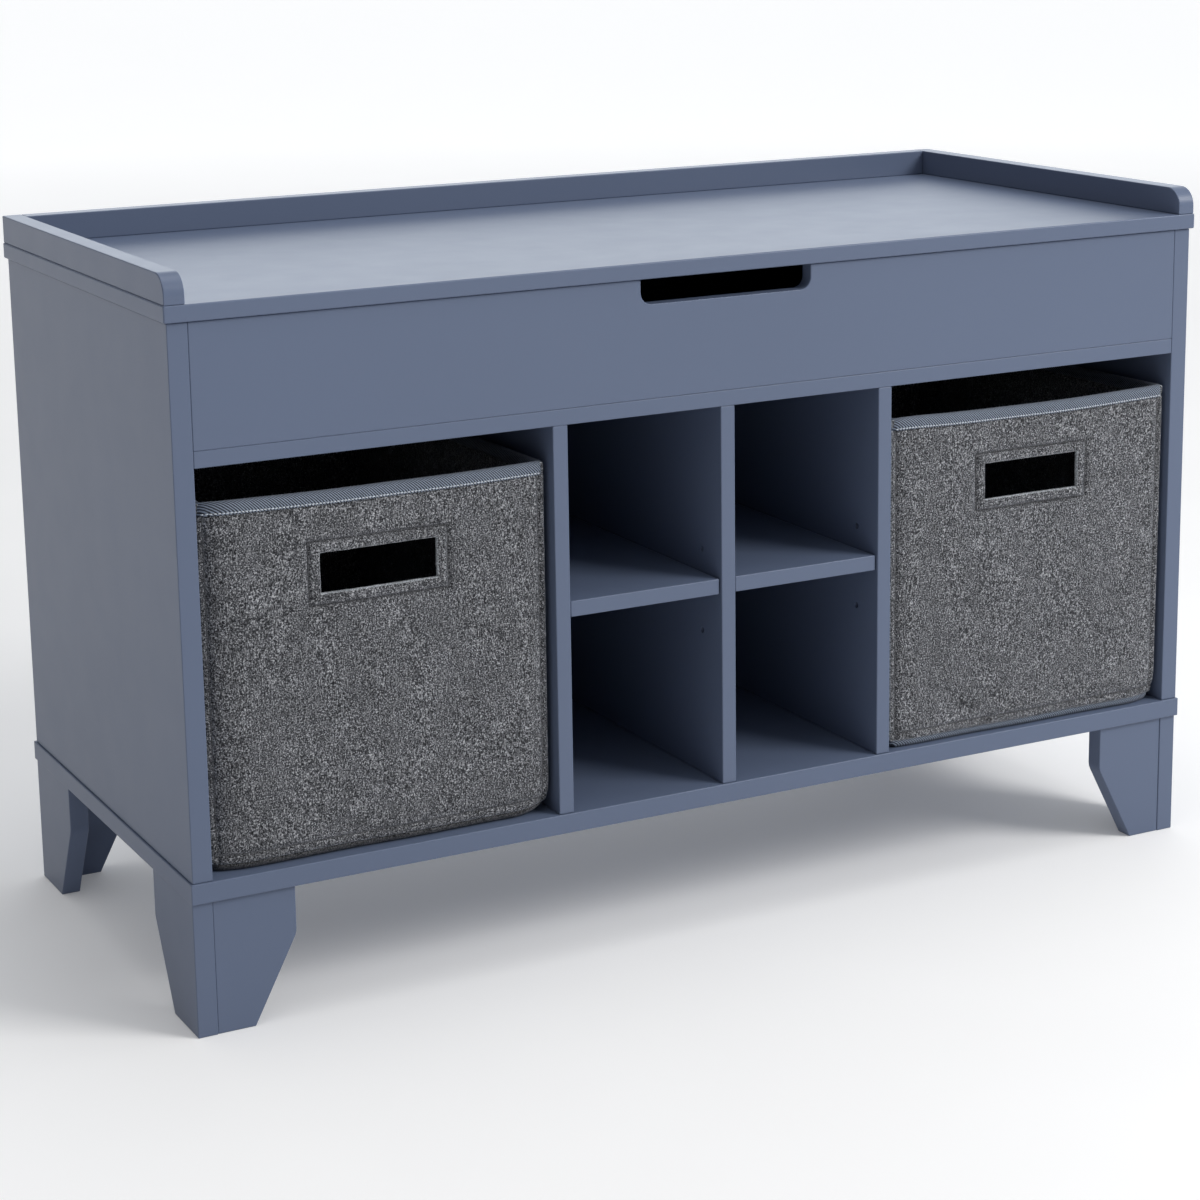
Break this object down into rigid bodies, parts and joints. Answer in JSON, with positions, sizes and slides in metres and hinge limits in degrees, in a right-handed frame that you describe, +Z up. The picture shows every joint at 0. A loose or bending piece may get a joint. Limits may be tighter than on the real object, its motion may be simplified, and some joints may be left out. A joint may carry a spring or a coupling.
{
  "type": "hallway storage bench",
  "caption": "Low hallway bench on four tapered legs: lift-up lid with a raised gallery over a shallow compartment, felt baskets either side and shoe cubbies with shelves between.",
  "frame": {"origin": "on the floor, in the middle of the overall footprint", "axes": "+Z up, +X to the bench's right along its length, -Y towards the open front"},
  "size_m": [0.87, 0.384, 0.543],
  "materials": {
    "painted_board": "satin blue-grey paint on smooth board",
    "back_board": "thin painted board",
    "timber": "plain beech",
    "painted_timber": "beech painted like the boards",
    "felt": "heathered grey pressed felt",
    "binding": "blue-grey twill tape",
    "stiffener": "grey board",
    "zinc_steel": "zinc-plated steel",
    "zinc_cast": "die-cast zinc"
  },
  "bodies": {
    "carcass": {"base_panel": "painted_board", "left_side_panel": "painted_board", "right_side_panel": "painted_board", "deck_panel": "painted_board", "front_panel": "painted_board", "left_partition": "painted_board", "centre_partition": "painted_board", "right_partition": "painted_board", "rear_hinge_rail": "painted_board", "left_front_leg_side_board": "painted_board", "left_front_leg_front_board": "painted_board", "left_back_leg_side_board": "painted_board", "left_back_leg_back_board": "painted_board", "left_shelf_pegs": "zinc_steel", "left_hinge_fixed_leaf": "zinc_steel", "right_front_leg_side_board": "painted_board", "right_front_leg_front_board": "painted_board", "right_back_leg_side_board": "painted_board", "right_back_leg_back_board": "painted_board", "right_shelf_pegs": "zinc_steel", "right_hinge_fixed_leaf": "zinc_steel", "back_panel": "back_board", "dowels": "timber", "leg_corner_blocks": "painted_timber", "hinge_pins": "zinc_steel", "stay_side_brackets": "zinc_steel", "cam_bolts": "zinc_steel", "base_screws": "zinc_steel", "leg_screws": "zinc_steel", "carcass_hardware_screws": "zinc_steel", "back_panel_screws": "zinc_steel", "cam_locks": "zinc_cast"},
    "lid": {"lid_panel": "painted_board", "lid_left_rail": "painted_board", "lid_right_rail": "painted_board", "lid_back_rail": "painted_board", "left_hinge_lid_leaf": "zinc_steel", "right_hinge_lid_leaf": "zinc_steel", "stay_lid_brackets": "zinc_steel", "lid_rail_screws": "zinc_steel", "lid_hardware_screws": "zinc_steel"},
    "left_stay_lower": {"left_stay_lower_arm": "zinc_steel"},
    "left_stay_upper": {"left_stay_upper_arm": "zinc_steel"},
    "left_shelf": {"left_shelf": "painted_board"},
    "left_basket": {"left_basket_front_panel": "felt", "left_basket_back_panel": "felt", "left_basket_side_panels": "felt", "left_basket_bottom": "felt", "left_basket_base_board": "stiffener", "left_basket_rim_binding": "binding"},
    "right_stay_lower": {"right_stay_lower_arm": "zinc_steel"},
    "right_stay_upper": {"right_stay_upper_arm": "zinc_steel"},
    "right_shelf": {"right_shelf": "painted_board"},
    "right_basket": {"right_basket_front_panel": "felt", "right_basket_back_panel": "felt", "right_basket_side_panels": "felt", "right_basket_bottom": "felt", "right_basket_base_board": "stiffener", "right_basket_rim_binding": "binding"}
  },
  "joints": [
    {"name": "lid_open", "type": "hinge", "parent": "carcass", "child": "lid", "pos_m": [0, 0.189, 0.51], "axis": [-1, 0, 0], "range_deg": [0, 80]},
    {"name": "left_lower_arm_swing", "type": "hinge", "parent": "carcass", "child": "left_stay_lower", "pos_m": [-0.4142, 0.134, 0.46], "axis": [-1, 0, 0], "range_deg": [0, 80]},
    {"name": "left_upper_arm_swing", "type": "hinge", "parent": "lid", "child": "left_stay_upper", "pos_m": [-0.4117, 0.039, 0.498], "axis": [-1, 0, 0], "range_deg": [-80, 0]},
    {"name": "left_shelf_slide", "type": "slide", "parent": "carcass", "child": "left_shelf", "axis": [0, -1, 0], "range_m": [0, 0.36]},
    {"name": "left_basket_slide", "type": "slide", "parent": "carcass", "child": "left_basket", "axis": [0, -1, 0], "range_m": [0, 0.36]},
    {"name": "right_lower_arm_swing", "type": "hinge", "parent": "carcass", "child": "right_stay_lower", "pos_m": [0.4142, 0.134, 0.46], "axis": [-1, 0, 0], "range_deg": [0, 80]},
    {"name": "right_upper_arm_swing", "type": "hinge", "parent": "lid", "child": "right_stay_upper", "pos_m": [0.4117, 0.039, 0.498], "axis": [-1, 0, 0], "range_deg": [-80, 0]},
    {"name": "right_shelf_slide", "type": "slide", "parent": "carcass", "child": "right_shelf", "axis": [0, -1, 0], "range_m": [0, 0.36]},
    {"name": "right_basket_slide", "type": "slide", "parent": "carcass", "child": "right_basket", "axis": [0, -1, 0], "range_m": [0, 0.36]}
  ],
  "couplings": [
    {"joint": "left_lower_arm_swing", "follows": "lid_open", "ratio": 1},
    {"joint": "left_upper_arm_swing", "follows": "lid_open", "ratio": -1},
    {"joint": "right_lower_arm_swing", "follows": "lid_open", "ratio": 1},
    {"joint": "right_upper_arm_swing", "follows": "lid_open", "ratio": -1}
  ]
}
